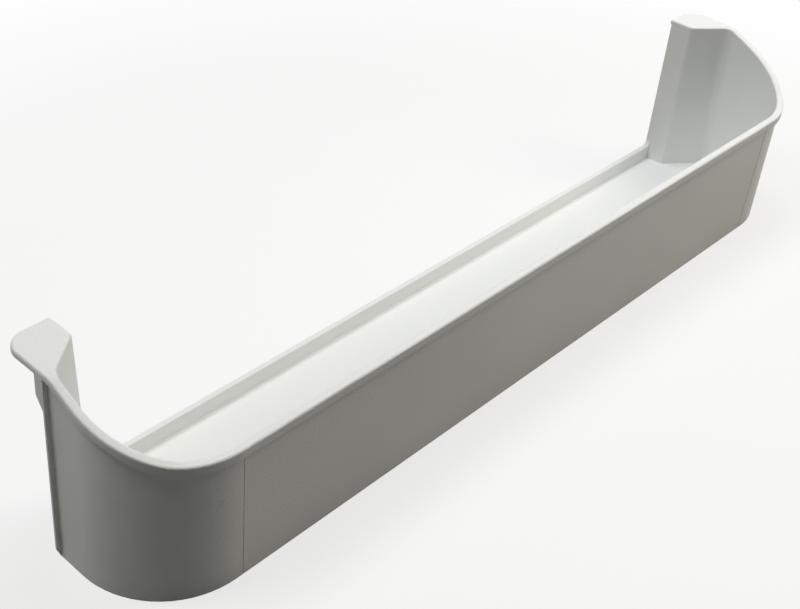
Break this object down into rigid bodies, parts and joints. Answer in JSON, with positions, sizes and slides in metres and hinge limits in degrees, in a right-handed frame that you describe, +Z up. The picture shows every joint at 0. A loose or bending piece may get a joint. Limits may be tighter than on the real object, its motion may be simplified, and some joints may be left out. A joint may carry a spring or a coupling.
{
  "type": "fridge door shelf",
  "caption": "Long open fridge door shelf with a tall rounded front wall, low rear lip and raised capped ears whose recesses drop over lugs on the door liner.",
  "frame": {"origin": "middle of the outline at the height of the flat underside", "axes": "+X along the length, +Y from the front wall to the open rear, +Z up"},
  "size_m": [0.4832, 0.0878, 0.0952],
  "materials": {
    "shelf_plastic": "satin white moulding, finely grained"
  },
  "bodies": {
    "root": {"door_shelf": "shelf_plastic"}
  },
  "joints": []
}
